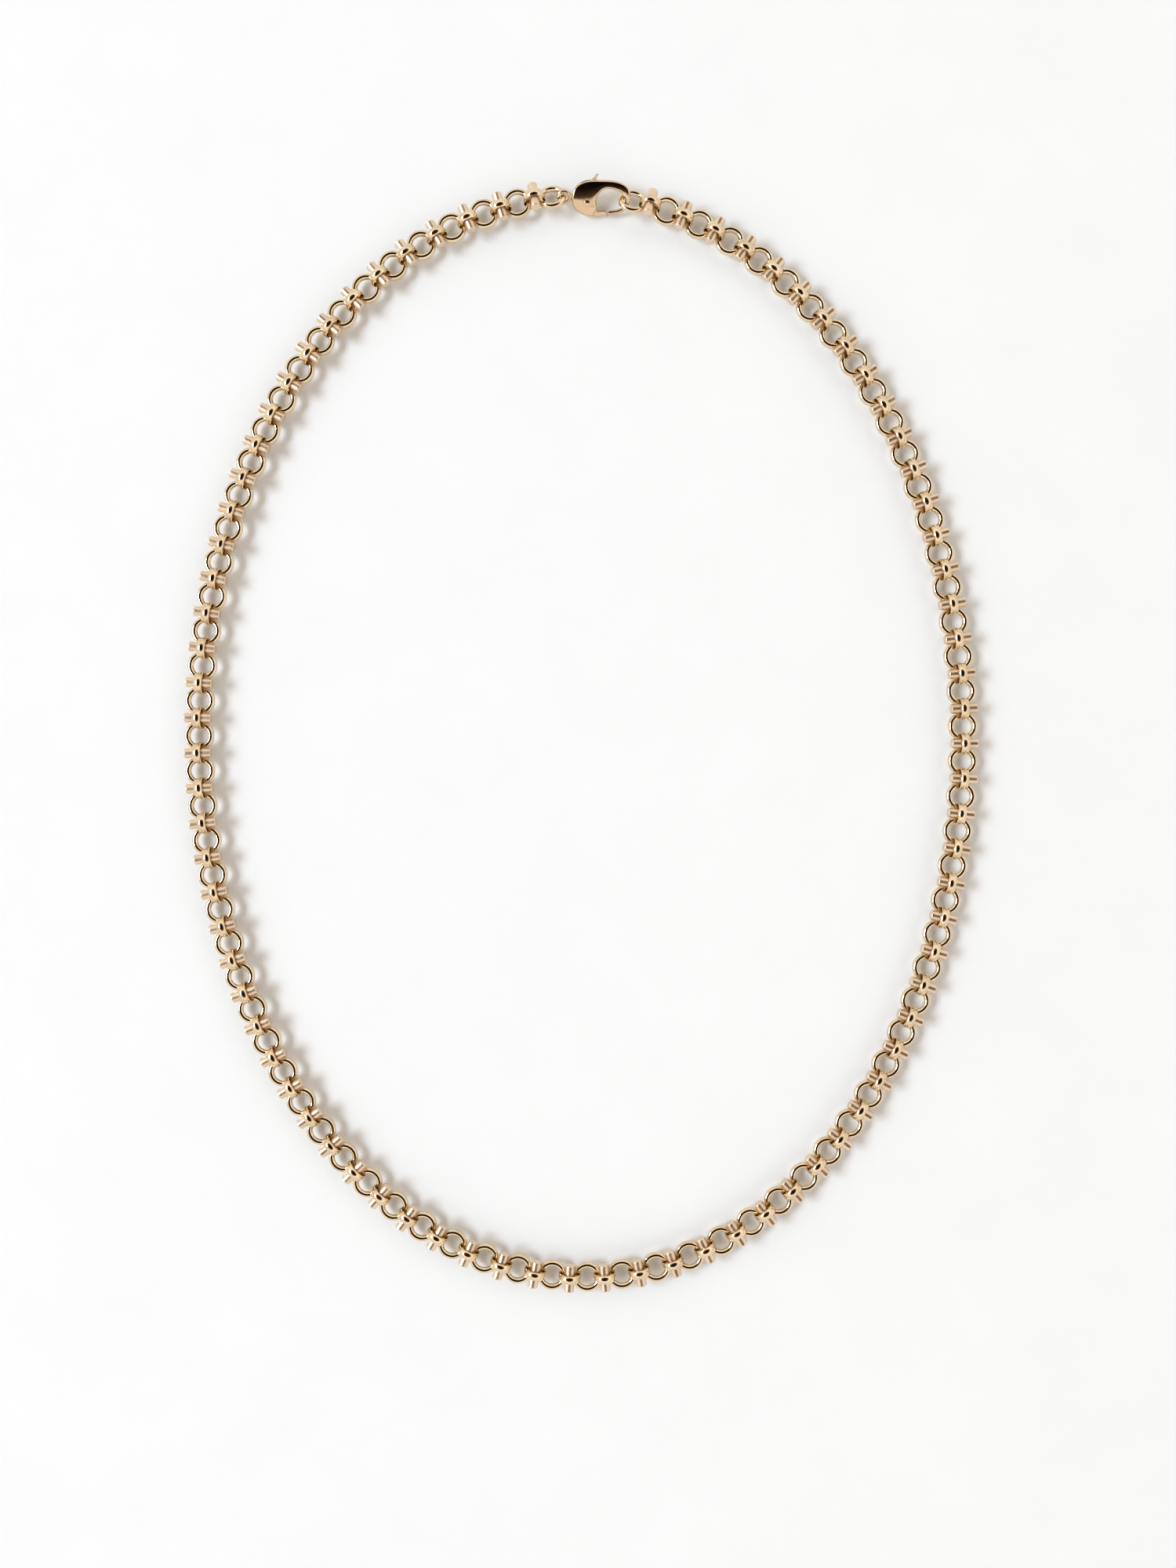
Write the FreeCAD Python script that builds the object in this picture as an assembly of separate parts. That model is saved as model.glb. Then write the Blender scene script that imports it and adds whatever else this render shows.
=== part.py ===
import FreeCAD, Part
import math
import os

# A closed chain necklace lying flat in an oval, fastened by a lobster clasp at its top.
# Units are millimetres.  +Z is up, +Y runs towards the clasp, and the origin is the
# middle of the underside of the whole necklace.

# Chain: flat round rings, joined by upright polished band links.  In each band the two
# rings' wires lie low, and a short round bar lies across the chain on top of them.
RING_COUNT = 82
PITCH = 5.5                  # from ring centre to ring centre
RING_RADIUS = 1.86           # to the middle of the wire
WIRE_RADIUS = 0.47
BAND_OUTER_RADIUS = 1.75
BAND_INNER_RADIUS = 1.45
BAND_WIDTH = 1.22
BAND_OUTER_CHAMFER = (0.14, 0.03)    # along Y and in radius, at the outside's edges
BAND_INNER_FLARE = (0.55, 0.215)     # the same inside, which clears a ring's curve
BAR_LENGTH = 4.06
BAR_RADIUS = 0.78
BAR_END_ROUND = 0.14
RING_DROP = 0.33             # the rings' wires below the middle of the bands
BAR_RISE = 0.62              # the bars above it
LINK_HEIGHT = BAND_OUTER_RADIUS      # middle of the bands above the ground
RING_HEIGHT = LINK_HEIGHT - RING_DROP

# Loop: an ellipse through the ring centres, as long as the chain and clasp.
CLASP_SPAN = 12.80           # along the loop, between the centres of the two end rings
LOOP_ASPECT = 0.707          # short axis over long axis
LOOP_TILT = 0.5              # degrees, long axis leaning to the left at the clasp
START_TURN = 8.5             # degrees clockwise from the long axis to the first ring
LOOP_STEPS = 7200

# Folds: the two runs of chain beside each other share a body, and the bodies are
# hinged to each other on lines through a link contact in each run.
FIRST_FOLD_RING = 3
LAST_FOLD_RING = 35
FOLD_COUNT = 15

# Clasp, drawn flat with U along it from tail to hook, V across it and W through it.
CLASP_ROLL = 33.0            # degrees, spine raised and gate side on the ground
END_RING_ROLL = 24.0         # degrees, the end rings lean the other way
END_LINK_ROLL = 12.0         # degrees, the links that hold them lean half as far
END_LIFT = 0.31              # the clasp holds the end rings and links this far up
CLASP_REACH = (-3.0, 12.0, 6.0)      # a block past the clasp's ends in U and its sides in V
BODY_THICKNESS = 1.4
HOOK_THICKNESS = 0.78
HOOK_TAPER_START = 4.9
HOOK_TAPER_END = 7.2
BODY_OUTLINE = (
    (0.0, 0.30), (0.55, 1.80), (1.9, 2.55), (4.6, 2.55), (7.6, 1.95), (9.0, 0.85),
    (9.12, -0.6), (8.35, -2.0), (6.4, -2.57), (4.0, -2.58), (1.6, -2.18), (0.3, -1.10),
)
BODY_OPENING = (
    (3.75, -1.0), (4.1, 0.35), (5.2, 1.15), (6.8, 0.95), (7.95, 0.25),
    (8.24, -0.70), (7.6, -1.68), (5.7, -1.90), (4.2, -1.82),
)
BODY_EDGE = 0.94             # outline's scale at the faces, where its edge is eased
OPENING_EDGE = 1.24          # opening's scale at the faces, where its edge is eased
GATE_GAP = ((2.95, -4.0), (5.30, -4.0), (5.30, -1.2), (3.9, -1.2), (3.30, -2.1))
EYE_CENTRE = (-1.22, 0.62)
EYE_RADIUS = 0.93
EYE_WIRE_RADIUS = 0.28
NECK_LENGTH = 0.9
EYE_TWIST = 22.0             # degrees, the eye turned from the body about its neck
NECK_RADIUS = 0.40
HOOK_CONTACT = (7.66, -0.62)  # middle of the end ring's wire inside the hook
TAIL_CONTACT = (-1.30, 0.62)  # middle of the end ring's wire inside the eye

SLOT_THICKNESS = 0.80
LEVER_THICKNESS = 0.64
LEVER_PIVOT = (2.35, -0.55)
LEVER_ARM = (
    (1.85, -1.1), (2.95, -2.34), (4.0, -2.50), (5.22, -2.50), (5.22, -1.98), (4.75, -1.87),
    (4.0, -1.83), (3.45, -1.45), (2.9, -0.15),
)
LEVER_TAB = (
    (1.75, -0.1), (2.55, 1.6), (3.05, 2.55), (4.25, 3.50), (4.52, 3.40), (3.85, 2.45),
    (3.45, 1.6), (3.08, -0.3),
)
LEVER_HEEL = ((1.8, -0.3), (1.0, -0.52), (0.95, -0.80), (1.75, -0.90))
LEVER_BOSS_RADIUS = 0.78
LEVER_HOLE_RADIUS = 0.36
RIVET_RADIUS = 0.33
RIVET_HEAD_RADIUS = 0.50
RIVET_HEAD_PROUD = 0.07
LEVER_OPEN_ANGLE = 25.0
LEVER_CLEARANCE = 0.09
SLOT_STEPS = 5               # positions of the lever that the slot is cut for, beyond rest
SPRING_CENTRE = (1.35, -1.30)
SPRING_RADIUS = 0.42
SPRING_THICKNESS = 0.09
SPRING_WIDTH = 0.40
SPRING_POCKET_RADIUS = 0.48

UP = FreeCAD.Vector(0, 0, 1)
ORIGIN = FreeCAD.Vector(0, 0, 0)


def point(x, y, z=0.0):
    return FreeCAD.Vector(x, y, z)


# ---------------------------------------------------------------- chain pieces

def chain_ring():
    return Part.makeTorus(RING_RADIUS, WIRE_RADIUS)


def band_link():
    """An upright band, chamfered outside and flared inside."""
    half = BAND_WIDTH / 2
    side, depth = BAND_OUTER_CHAMFER
    upper = [(BAND_OUTER_RADIUS, half - side), (BAND_OUTER_RADIUS - depth, half)]
    side, depth = BAND_INNER_FLARE
    upper += [(BAND_INNER_RADIUS + depth, half), (BAND_INNER_RADIUS, half - side)]
    section = upper + [(x, -y) for x, y in reversed(upper)]
    corners = [point(x, y) for x, y in section]
    face = Part.Face(Part.makePolygon(corners + corners[:1]))
    return face.revolve(ORIGIN, FreeCAD.Vector(0, 1, 0), 360)


def cross_bar():
    """A straight round bar along Y, with its end edges rounded."""
    bar = Part.makeCylinder(BAR_RADIUS, BAR_LENGTH, point(0, -BAR_LENGTH / 2), FreeCAD.Vector(0, 1, 0))
    ends = [edge for edge in bar.Edges if edge.isClosed()]
    bar = bar.makeFillet(BAR_END_ROUND, ends)
    bar.translate(UP * BAR_RISE)
    return bar


# ---------------------------------------------------------------- loop layout

def loop_length():
    return (RING_COUNT - 1) * PITCH + CLASP_SPAN


def ellipse_point(turn, long_axis):
    """A point of the loop, TURN radians clockwise from its long axis at the clasp."""
    x = long_axis * LOOP_ASPECT * math.sin(turn)
    y = long_axis * math.cos(turn)
    tilt = math.radians(LOOP_TILT)
    return point(x * math.cos(tilt) - y * math.sin(tilt), x * math.sin(tilt) + y * math.cos(tilt))


def ring_centres():
    """Ring centres, clockwise from the one in the hook, at one pitch along the loop."""
    step = 2 * math.pi / LOOP_STEPS
    unit = [ellipse_point(i * step, 1.0) for i in range(LOOP_STEPS + 1)]
    perimeter = sum(a.distanceToPoint(b) for a, b in zip(unit, unit[1:]))
    long_axis = loop_length() / perimeter
    centres = []
    turn = math.radians(START_TURN)
    travelled = 0.0
    here = ellipse_point(turn, long_axis)
    centres.append(here)
    while len(centres) < RING_COUNT:
        ahead = ellipse_point(turn + step, long_axis)
        gap = here.distanceToPoint(ahead)
        if travelled + gap < PITCH:
            travelled += gap
            turn += step
            here = ahead
        else:
            turn += step * (PITCH - travelled) / gap
            travelled = 0.0
            here = ellipse_point(turn, long_axis)
            centres.append(here)
    return centres


def heading(start, end):
    return math.degrees(math.atan2(end.y - start.y, end.x - start.x))


def link_placement(start, end):
    """A frame midway between two ring centres, with X from the first to the second."""
    middle = (start + end) * 0.5
    return FreeCAD.Placement(middle + UP * LINK_HEIGHT, FreeCAD.Rotation(UP, heading(start, end)))


def lifted_link_placement(end_ring, neighbour, raised_side):
    """The link of an end ring, lifted, and leaning about the wires that it holds."""
    level = link_placement(neighbour, end_ring)
    lean = FreeCAD.Rotation(FreeCAD.Vector(1, 0, 0), raised_side * END_LINK_ROLL)
    leaning = level.Rotation.multiply(lean)
    wires = level.Base + UP * (END_LIFT - RING_DROP)
    return FreeCAD.Placement(wires + leaning.multVec(UP * RING_DROP), leaning)


def ring_placement(centre):
    return FreeCAD.Placement(centre + UP * RING_HEIGHT, FreeCAD.Rotation())


def ramp_ring_placement(centre, end_ring):
    """The ring next to an end link, tipped up towards it."""
    pitch = math.degrees(math.asin(END_LIFT / (2 * RING_RADIUS)))
    facing = FreeCAD.Rotation(UP, heading(centre, end_ring))
    tip = FreeCAD.Rotation(FreeCAD.Vector(0, 1, 0), -pitch)
    return FreeCAD.Placement(centre + UP * (RING_HEIGHT + END_LIFT / 2), facing.multiply(tip))


def moved(shape, placement):
    copy = shape.copy()
    copy.transformShape(placement.toMatrix())
    return copy


def fold_rings():
    """The ring, counted down from the clasp, that ends each body above a fold."""
    step = (LAST_FOLD_RING - FIRST_FOLD_RING) / (FOLD_COUNT - 1)
    return [round(FIRST_FOLD_RING + i * step) for i in range(FOLD_COUNT)]


def strip_of_ring(index):
    down = min(index, RING_COUNT - 1 - index)
    return sum(1 for fold in fold_rings() if fold < down)


def strip_of_link(index):
    down = min(index, RING_COUNT - 2 - index)
    return sum(1 for fold in fold_rings() if fold <= down)


def fold_line(centres, fold):
    """The left and right ends of a fold: the wire of each run's ring at its next link."""
    ends = []
    for ring, following in ((RING_COUNT - 1 - fold, RING_COUNT - 2 - fold), (fold, fold + 1)):
        towards = centres[following] - centres[ring]
        towards.normalize()
        ends.append(centres[ring] + towards * RING_RADIUS + UP * RING_HEIGHT)
    return ends


# ---------------------------------------------------------------- clasp pieces

def closed_curve(points):
    curve = Part.BSplineCurve()
    curve.interpolate([point(u, v) for u, v in points], PeriodicFlag=True)
    return Part.Wire(curve.toShape())


def plate(wire, thickness):
    """A flat plate of a closed outline, centred on W = 0."""
    slab = Part.Face(wire).extrude(UP * thickness)
    slab.translate(UP * (-thickness / 2))
    return slab


def scaled(points, factor):
    """An outline drawn larger or smaller about its own middle."""
    middle_u = sum(u for u, v in points) / len(points)
    middle_v = sum(v for u, v in points) / len(points)
    return [(middle_u + (u - middle_u) * factor, middle_v + (v - middle_v) * factor) for u, v in points]


def eased_plate(points, face_scale, straight, thickness):
    """A plate whose outline changes scale from a straight middle to its two faces."""
    solids = [plate(closed_curve(points), straight)]
    for side in (1, -1):
        inner = closed_curve(points)
        inner.translate(UP * side * straight / 2)
        outer = closed_curve(scaled(points, face_scale))
        outer.translate(UP * side * thickness / 2)
        solids.append(Part.makeLoft([inner, outer], True))
    return solids[0].fuse(solids[1:])


def polygon_plate(points, thickness):
    corners = [point(u, v) for u, v in points]
    return plate(Part.makePolygon(corners + corners[:1]), thickness)


def disc(centre, radius, thickness):
    base = point(centre[0], centre[1], -thickness / 2)
    return Part.makeCylinder(radius, thickness, base)


def taper_block():
    """The room that the body may fill in W: full at the lobe, thin at the hook."""
    full = BODY_THICKNESS / 2
    thin = HOOK_THICKNESS / 2
    low, high, side = CLASP_REACH
    upper = [(low, full), (HOOK_TAPER_START, full), (HOOK_TAPER_END, thin), (high, thin)]
    profile = upper + [(u, -w) for u, w in reversed(upper)]
    corners = [FreeCAD.Vector(u, -side, w) for u, w in profile]
    face = Part.Face(Part.makePolygon(corners + corners[:1]))
    return face.extrude(FreeCAD.Vector(0, 2 * side, 0))


def lever_outline():
    """The lever's thin plate: boss, gate arm along the opening, thumb tab and heel."""
    blades = [polygon_plate(blade, LEVER_THICKNESS) for blade in (LEVER_ARM, LEVER_TAB, LEVER_HEEL)]
    boss = disc(LEVER_PIVOT, LEVER_BOSS_RADIUS, LEVER_THICKNESS)
    return boss.fuse(blades).removeSplitter()


def clasp_lever():
    bore = disc(LEVER_PIVOT, LEVER_HOLE_RADIUS, 2 * LEVER_THICKNESS)
    return lever_outline().cut(bore)


def lever_slot():
    """The slot in the body: everything that the lever's plate passes on its way open."""
    swept = []
    pivot = point(*LEVER_PIVOT)
    lever = lever_outline()
    for step in range(-1, SLOT_STEPS + 1):
        turned = lever.copy()
        turned.rotate(pivot, UP, step * LEVER_OPEN_ANGLE / SLOT_STEPS)
        flat = turned.slice(UP, 0.0)[0]
        outline = flat.makeOffset2D(LEVER_CLEARANCE, 0, False, False, True)
        swept.append(plate(Part.Wire(outline.Wires[0].Edges), SLOT_THICKNESS))
    swept.append(disc(SPRING_CENTRE, SPRING_POCKET_RADIUS, SLOT_THICKNESS))
    return swept[0].fuse(swept[1:]).removeSplitter()


def clasp_eye():
    """The round eye at the tail, turned about its neck."""
    eye = Part.makeTorus(EYE_RADIUS, EYE_WIRE_RADIUS)
    eye.rotate(ORIGIN, FreeCAD.Vector(1, 0, 0), EYE_TWIST)
    eye.translate(point(*EYE_CENTRE))
    neck_start = EYE_CENTRE[0] + EYE_RADIUS
    neck = Part.makeCone(
        EYE_WIRE_RADIUS, NECK_RADIUS, NECK_LENGTH, point(neck_start, EYE_CENTRE[1]), FreeCAD.Vector(1, 0, 0)
    )
    return eye, neck


def clasp_body():
    outer = eased_plate(BODY_OUTLINE, BODY_EDGE, HOOK_THICKNESS, BODY_THICKNESS)
    opening = eased_plate(BODY_OPENING, OPENING_EDGE, HOOK_THICKNESS / 2, 1.2 * BODY_THICKNESS)
    gap = polygon_plate(GATE_GAP, 2 * BODY_THICKNESS)
    solid = outer.cut([opening, gap]).common(taper_block())
    solid = solid.cut(lever_slot())
    rivet_hole = disc(LEVER_PIVOT, RIVET_RADIUS, 2 * BODY_THICKNESS)
    eye, neck = clasp_eye()
    return solid.cut(rivet_hole).fuse([eye, neck]).removeSplitter()


def clasp_rivet():
    length = BODY_THICKNESS + 2 * RIVET_HEAD_PROUD
    shank = disc(LEVER_PIVOT, RIVET_RADIUS, length)
    heads = []
    for side in (1, -1):
        head = disc(LEVER_PIVOT, RIVET_HEAD_RADIUS, RIVET_HEAD_PROUD)
        head.translate(UP * side * (BODY_THICKNESS + RIVET_HEAD_PROUD) / 2)
        heads.append(head)
    return shank.fuse(heads).removeSplitter()


def clasp_spring():
    """A leaf bent into a C below the lever's heel, open towards the tail."""
    outer = disc(SPRING_CENTRE, SPRING_RADIUS, SPRING_WIDTH)
    inner = disc(SPRING_CENTRE, SPRING_RADIUS - SPRING_THICKNESS, SPRING_WIDTH)
    mouth = disc((SPRING_CENTRE[0] - SPRING_RADIUS, SPRING_CENTRE[1]), SPRING_RADIUS / 2, 2 * SPRING_WIDTH)
    return outer.cut([inner, mouth])


def end_ring_placement(neighbour, centre, raised_side):
    """An end ring's frame, X pointing away from its link, one side raised by its roll."""
    facing = FreeCAD.Rotation(UP, heading(neighbour, centre))
    roll = FreeCAD.Rotation(FreeCAD.Vector(1, 0, 0), raised_side * END_RING_ROLL)
    return FreeCAD.Placement(centre + UP * (RING_HEIGHT + END_LIFT), facing.multiply(roll))


def contact_towards(ring_place, direction):
    """The middle of a ring's wire on the side that faces a direction."""
    local = ring_place.Rotation.inverted().multVec(direction)
    local.z = 0
    local.normalize()
    return ring_place.multVec(local * RING_RADIUS)


def clasp_placement(hook_place, tail_place):
    """Lay the clasp so that its eye and hook hold the wires of the two end rings."""
    across = hook_place.Base - tail_place.Base
    tail = contact_towards(tail_place, across)
    hook = contact_towards(hook_place, across * -1)
    drawn = heading(point(*TAIL_CONTACT), point(*HOOK_CONTACT))
    drawn_middle = (point(*TAIL_CONTACT) + point(*HOOK_CONTACT)) * 0.5
    centre = FreeCAD.Placement(drawn_middle * -1, FreeCAD.Rotation())
    level = FreeCAD.Placement(ORIGIN, FreeCAD.Rotation(UP, -drawn))
    roll = FreeCAD.Placement(ORIGIN, FreeCAD.Rotation(FreeCAD.Vector(1, 0, 0), CLASP_ROLL))
    seat = FreeCAD.Placement((tail + hook) * 0.5, FreeCAD.Rotation(UP, heading(tail, hook)))
    return seat.multiply(roll).multiply(level).multiply(centre)


# ---------------------------------------------------------------- assembly

def ring_placements(centres):
    """Where every ring lies, apart from the two end rings."""
    places = {index: ring_placement(centres[index]) for index in range(1, RING_COUNT - 1)}
    places[1] = ramp_ring_placement(centres[1], centres[0])
    places[RING_COUNT - 2] = ramp_ring_placement(centres[-2], centres[-1])
    return places


def link_placements(centres):
    """Where every link stands; the two end links are lifted and lean."""
    last = RING_COUNT - 2
    places = {index: link_placement(centres[index], centres[index + 1]) for index in range(1, last)}
    places[0] = lifted_link_placement(centres[0], centres[1], 1)
    places[last] = lifted_link_placement(centres[-1], centres[-2], -1)
    return places


def chain_nodes(centres):
    """The chain as rings, band links and bars, grouped by the body that they ride on."""
    groups = {}
    for strip in range(FOLD_COUNT + 1):
        for name in ("rings", "band_links", "cross_bars"):
            groups[f"{name}_{strip + 1:02d}"] = []
    for index, place in ring_placements(centres).items():
        groups[f"rings_{strip_of_ring(index) + 1:02d}"].append(moved(chain_ring(), place))
    for index, place in link_placements(centres).items():
        strip = strip_of_link(index) + 1
        groups[f"band_links_{strip:02d}"].append(moved(band_link(), place))
        groups[f"cross_bars_{strip:02d}"].append(moved(cross_bar(), place))
    return {name: Part.makeCompound(solids) for name, solids in groups.items()}


def end_placements(centres):
    hook_place = end_ring_placement(centres[1], centres[0], 1)
    tail_place = end_ring_placement(centres[-2], centres[-1], -1)
    return hook_place, tail_place


def clasp_nodes(centres):
    hook_place, tail_place = end_placements(centres)
    place = clasp_placement(hook_place, tail_place)
    return {
        "clasp_body": moved(clasp_body(), place),
        "clasp_lever": moved(clasp_lever(), place),
        "clasp_rivet": moved(clasp_rivet(), place),
        "clasp_spring": moved(clasp_spring(), place),
        "end_ring_hook": moved(chain_ring(), hook_place),
        "end_ring_tail": moved(chain_ring(), tail_place),
    }


def assemble():
    """Every node, moved so that the origin is the middle of the underside."""
    centres = ring_centres()
    nodes = chain_nodes(centres)
    nodes.update(clasp_nodes(centres))
    box = Part.makeCompound(list(nodes.values())).optimalBoundingBox(False, False)
    shift = point(-box.Center.x, -box.Center.y, -box.ZMin)
    for shape in nodes.values():
        shape.translate(shift)
    return nodes, shift


def export(nodes):
    os.makedirs("parts", exist_ok=True)
    for name, shape in nodes.items():
        shape.exportStep(f"parts/{name}.step")


NODES, SHIFT = assemble()
export(NODES)
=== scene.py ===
import math

import bpy
import numpy as np
from mathutils import Matrix, Vector


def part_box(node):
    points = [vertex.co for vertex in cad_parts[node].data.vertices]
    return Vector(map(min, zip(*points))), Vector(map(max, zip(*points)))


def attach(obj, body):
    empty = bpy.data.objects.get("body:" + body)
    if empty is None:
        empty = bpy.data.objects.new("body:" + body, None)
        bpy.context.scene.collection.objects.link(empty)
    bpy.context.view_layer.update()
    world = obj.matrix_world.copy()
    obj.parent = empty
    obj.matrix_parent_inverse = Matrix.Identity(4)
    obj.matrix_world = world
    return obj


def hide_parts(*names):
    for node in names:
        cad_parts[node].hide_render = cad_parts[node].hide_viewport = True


# A polished gold chain necklace lying in an oval on white paper, seen from straight above.
# Sizes are in millimetres, as in the part, until a mesh is made: MM turns them into metres.
# Only the window's place and size are given in metres.

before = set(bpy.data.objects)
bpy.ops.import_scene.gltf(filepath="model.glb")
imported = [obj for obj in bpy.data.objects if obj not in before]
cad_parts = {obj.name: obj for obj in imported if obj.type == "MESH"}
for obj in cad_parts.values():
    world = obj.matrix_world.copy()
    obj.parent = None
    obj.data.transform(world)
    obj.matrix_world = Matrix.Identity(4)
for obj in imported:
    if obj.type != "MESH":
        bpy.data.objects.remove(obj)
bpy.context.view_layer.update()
MM = 0.001

# Chain, with the part's own dimensions.
RING_COUNT = 82
PITCH = 5.5
RING_RADIUS = 1.86
WIRE_RADIUS = 0.47
BAND_OUTER_RADIUS = 1.75
BAND_INNER_RADIUS = 1.45
BAND_WIDTH = 1.22
BAND_DOME = 0.03
BAND_CROWN = 0.215
BAND_EDGE_ROUND = 0.03
BAND_POLISH = 40.0           # degrees that polishing turns the outside's edges away
BAND_OUTSIDE_DEPTH = 1.2 * BAND_DOME    # what lies closer than this to the outer radius is outside
BAR_LENGTH = 4.06
BAR_RADIUS = 0.78
BAR_END_ROUND = 0.14
BAR_END_SHARES = (0.3, 0.7)  # of its radius, where a bar's flat end has rings of points
AXIS_GAP = 0.001             # how far from its axis the bar's profile starts
RING_DROP = 0.33
BAR_RISE = 0.62
LINK_HEIGHT = BAND_OUTER_RADIUS
RING_HEIGHT = LINK_HEIGHT - RING_DROP
CLASP_SPAN = 12.80
LOOP_ASPECT = 0.707
LOOP_TILT = 0.5
START_TURN = 8.5
LOOP_STEPS = 7200
STRIP_COUNT = 16
FIRST_FOLD_RING = 3
LAST_FOLD_RING = 35

# Facets of the turned and round pieces.
RING_TURNS = 72
WIRE_TURNS = 28
BAND_TURNS = 64
BAR_TURNS = 40
ROUND_STEPS = 4
DOME_STEPS = 8

# Clasp, drawn flat with U from tail to hook, V across and W through its thickness.
CLASP_ROLL = 33.0
END_RING_ROLL = 24.0
END_LINK_ROLL = 12.0
END_LIFT = 0.31
BODY_THICKNESS = 1.4
HOOK_THICKNESS = 0.78
HOOK_TAPER = (4.4, 7.6)
BODY_EDGE_ROUND = 0.30
BODY_PILLOW = 0.16
PILLOW_REACH = 0.55
SPINE_POLISH = (-0.3, 2.5, 0.30)    # where across V the faces start to swell, over how far, slope
BODY_OUTLINE = (
    (0.0, 0.30), (0.55, 1.80), (1.9, 2.55), (4.6, 2.55), (7.6, 1.95), (9.0, 0.85),
    (9.12, -0.6), (8.35, -2.0), (6.4, -2.57), (4.0, -2.58), (1.6, -2.18), (0.3, -1.10),
)
BODY_OPENING = (
    (3.75, -1.0), (4.1, 0.35), (5.2, 1.15), (6.8, 0.95), (7.95, 0.25),
    (8.24, -0.70), (7.6, -1.68), (5.7, -1.90), (4.2, -1.82),
)
GATE_GAP = ((2.95, -4.0), (5.30, -4.0), (5.30, -1.2), (3.9, -1.2), (3.30, -2.1))
EYE_CENTRE = (-1.22, 0.62)
EYE_RADIUS = 0.93
EYE_WIRE_RADIUS = 0.28
EYE_TWIST = 22.0
NECK_LENGTH = 0.9
NECK_RADIUS = 0.40
NECK_BLEND = 0.12
HOOK_CONTACT = (7.66, -0.62)
TAIL_CONTACT = (-1.30, 0.62)
SLOT_THICKNESS = 0.80
LEVER_THICKNESS = 0.64
LEVER_ROUND = 0.09
LEVER_PIVOT = (2.35, -0.55)
LEVER_BOSS_RADIUS = 0.78
LEVER_ARM = (
    (1.85, -1.1), (2.95, -2.34), (4.0, -2.50), (5.22, -2.50), (5.22, -1.98), (4.75, -1.87),
    (4.0, -1.83), (3.45, -1.45), (2.9, -0.15),
)
LEVER_TAB = (
    (1.75, -0.1), (2.55, 1.6), (3.05, 2.55), (4.25, 3.50), (4.52, 3.40), (3.85, 2.45),
    (3.45, 1.6), (3.08, -0.3),
)
LEVER_HEEL = ((1.8, -0.3), (1.0, -0.52), (0.95, -0.80), (1.75, -0.90))
LEVER_HOLE_RADIUS = 0.36
LEVER_OPEN_ANGLE = 25.0
LEVER_CLEARANCE = 0.09
SLOT_POSITIONS = 6
RIVET_RADIUS = 0.33
RIVET_HEAD_RADIUS = 0.50
RIVET_HEAD_PROUD = 0.07
RIVET_RIM_DEPTH = 0.06       # below the body's face
RIVET_SEAT_DEPTH = 0.07
RIVET_SHANK_HEIGHT = 0.3     # where the shank's section has a point
RIVET_HEAD_START = 0.002     # radians from the axis
RIVET_HEAD_POINTS = 8
SPRING_CENTRE = (1.35, -1.30)
SPRING_RADIUS = 0.42
SPRING_THICKNESS = 0.09
SPRING_WIDTH = 0.40
SPRING_POCKET_RADIUS = 0.48
SPRING_MOUTH = 62.0          # degrees left open on each side of the tail direction
SPRING_STEPS = 40
OUTLINE_POINTS = 160

# Blocks of small cells, in U, V and W, in which the body's and the lever's surfaces are found.
CELL_MARGIN = 0.15
BODY_CELL = 0.055
BODY_LOW = (
    EYE_CENTRE[0] - EYE_RADIUS - EYE_WIRE_RADIUS - CELL_MARGIN, -2.75,
    -BODY_THICKNESS / 2 - CELL_MARGIN,
)
BODY_HIGH = (9.3, 2.8, BODY_THICKNESS / 2 + CELL_MARGIN)
LEVER_CELL = 0.045
LEVER_LOW = (0.8, -2.65, -0.42)
LEVER_HIGH = (5.4, 3.65, 0.42)
SETTLING_STEPS = 2           # moves of a found point onto the surface itself
SETTLING_SHARE = 0.9         # of the distance that is left, for each move
GRADIENT_REACH = 0.012

# Metals: light tone, deep tone, least and most roughness, strength of the handling marks.
CHAIN_GOLD = ((0.83, 0.68, 0.48), (0.70, 0.55, 0.37), (0.02, 0.05), 0.05)
BAR_GOLD = ((0.84, 0.67, 0.50), (0.74, 0.57, 0.41), (0.30, 0.40), 0.12)
CLASP_GOLD = ((0.69, 0.53, 0.37), (0.61, 0.455, 0.31), (0.03, 0.07), 0.06)
SPRING_STEEL = ((0.56, 0.55, 0.53), (0.44, 0.43, 0.41), (0.22, 0.34), 0.30)

# Camera, paper and light.
CAMERA_PLACE = (1.1, -7.6, 192.4)
CAMERA_NEAR = 10.0
LENS = 27.9
SENSOR = 36.0
PAPER_SIZE = 3000.0
WINDOW_PLACE = (-2.90, 0.10, 2.60)
WINDOW_SIZE = (2.0, 1.1)
WINDOW_POWER = 105.0
WINDOW_COLOUR = (0.735, 0.862, 1.0)
ROOM_STRENGTH = 1.2
ROOM_TONES = (                # from the horizon, 0, to straight overhead, 1
    (0.0, (0.84, 0.81, 0.77)), (0.12, (0.74, 0.70, 0.65)), (0.26, (0.74, 0.69, 0.63)),
    (0.36, (0.92, 0.86, 0.77)), (0.60, (1.0, 0.935, 0.85)), (0.76, (0.96, 0.89, 0.80)),
    (0.81, (0.12, 0.078, 0.05)), (0.88, (0.05, 0.033, 0.022)), (1.0, (0.003, 0.002, 0.002)),
)


# ---------------------------------------------------------------- loop layout

def ellipse_points(turns, long_axis):
    x = long_axis * LOOP_ASPECT * np.sin(turns)
    y = long_axis * np.cos(turns)
    tilt = math.radians(LOOP_TILT)
    tilted_x = x * math.cos(tilt) - y * math.sin(tilt)
    tilted_y = x * math.sin(tilt) + y * math.cos(tilt)
    return np.stack([tilted_x, tilted_y], -1)


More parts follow.
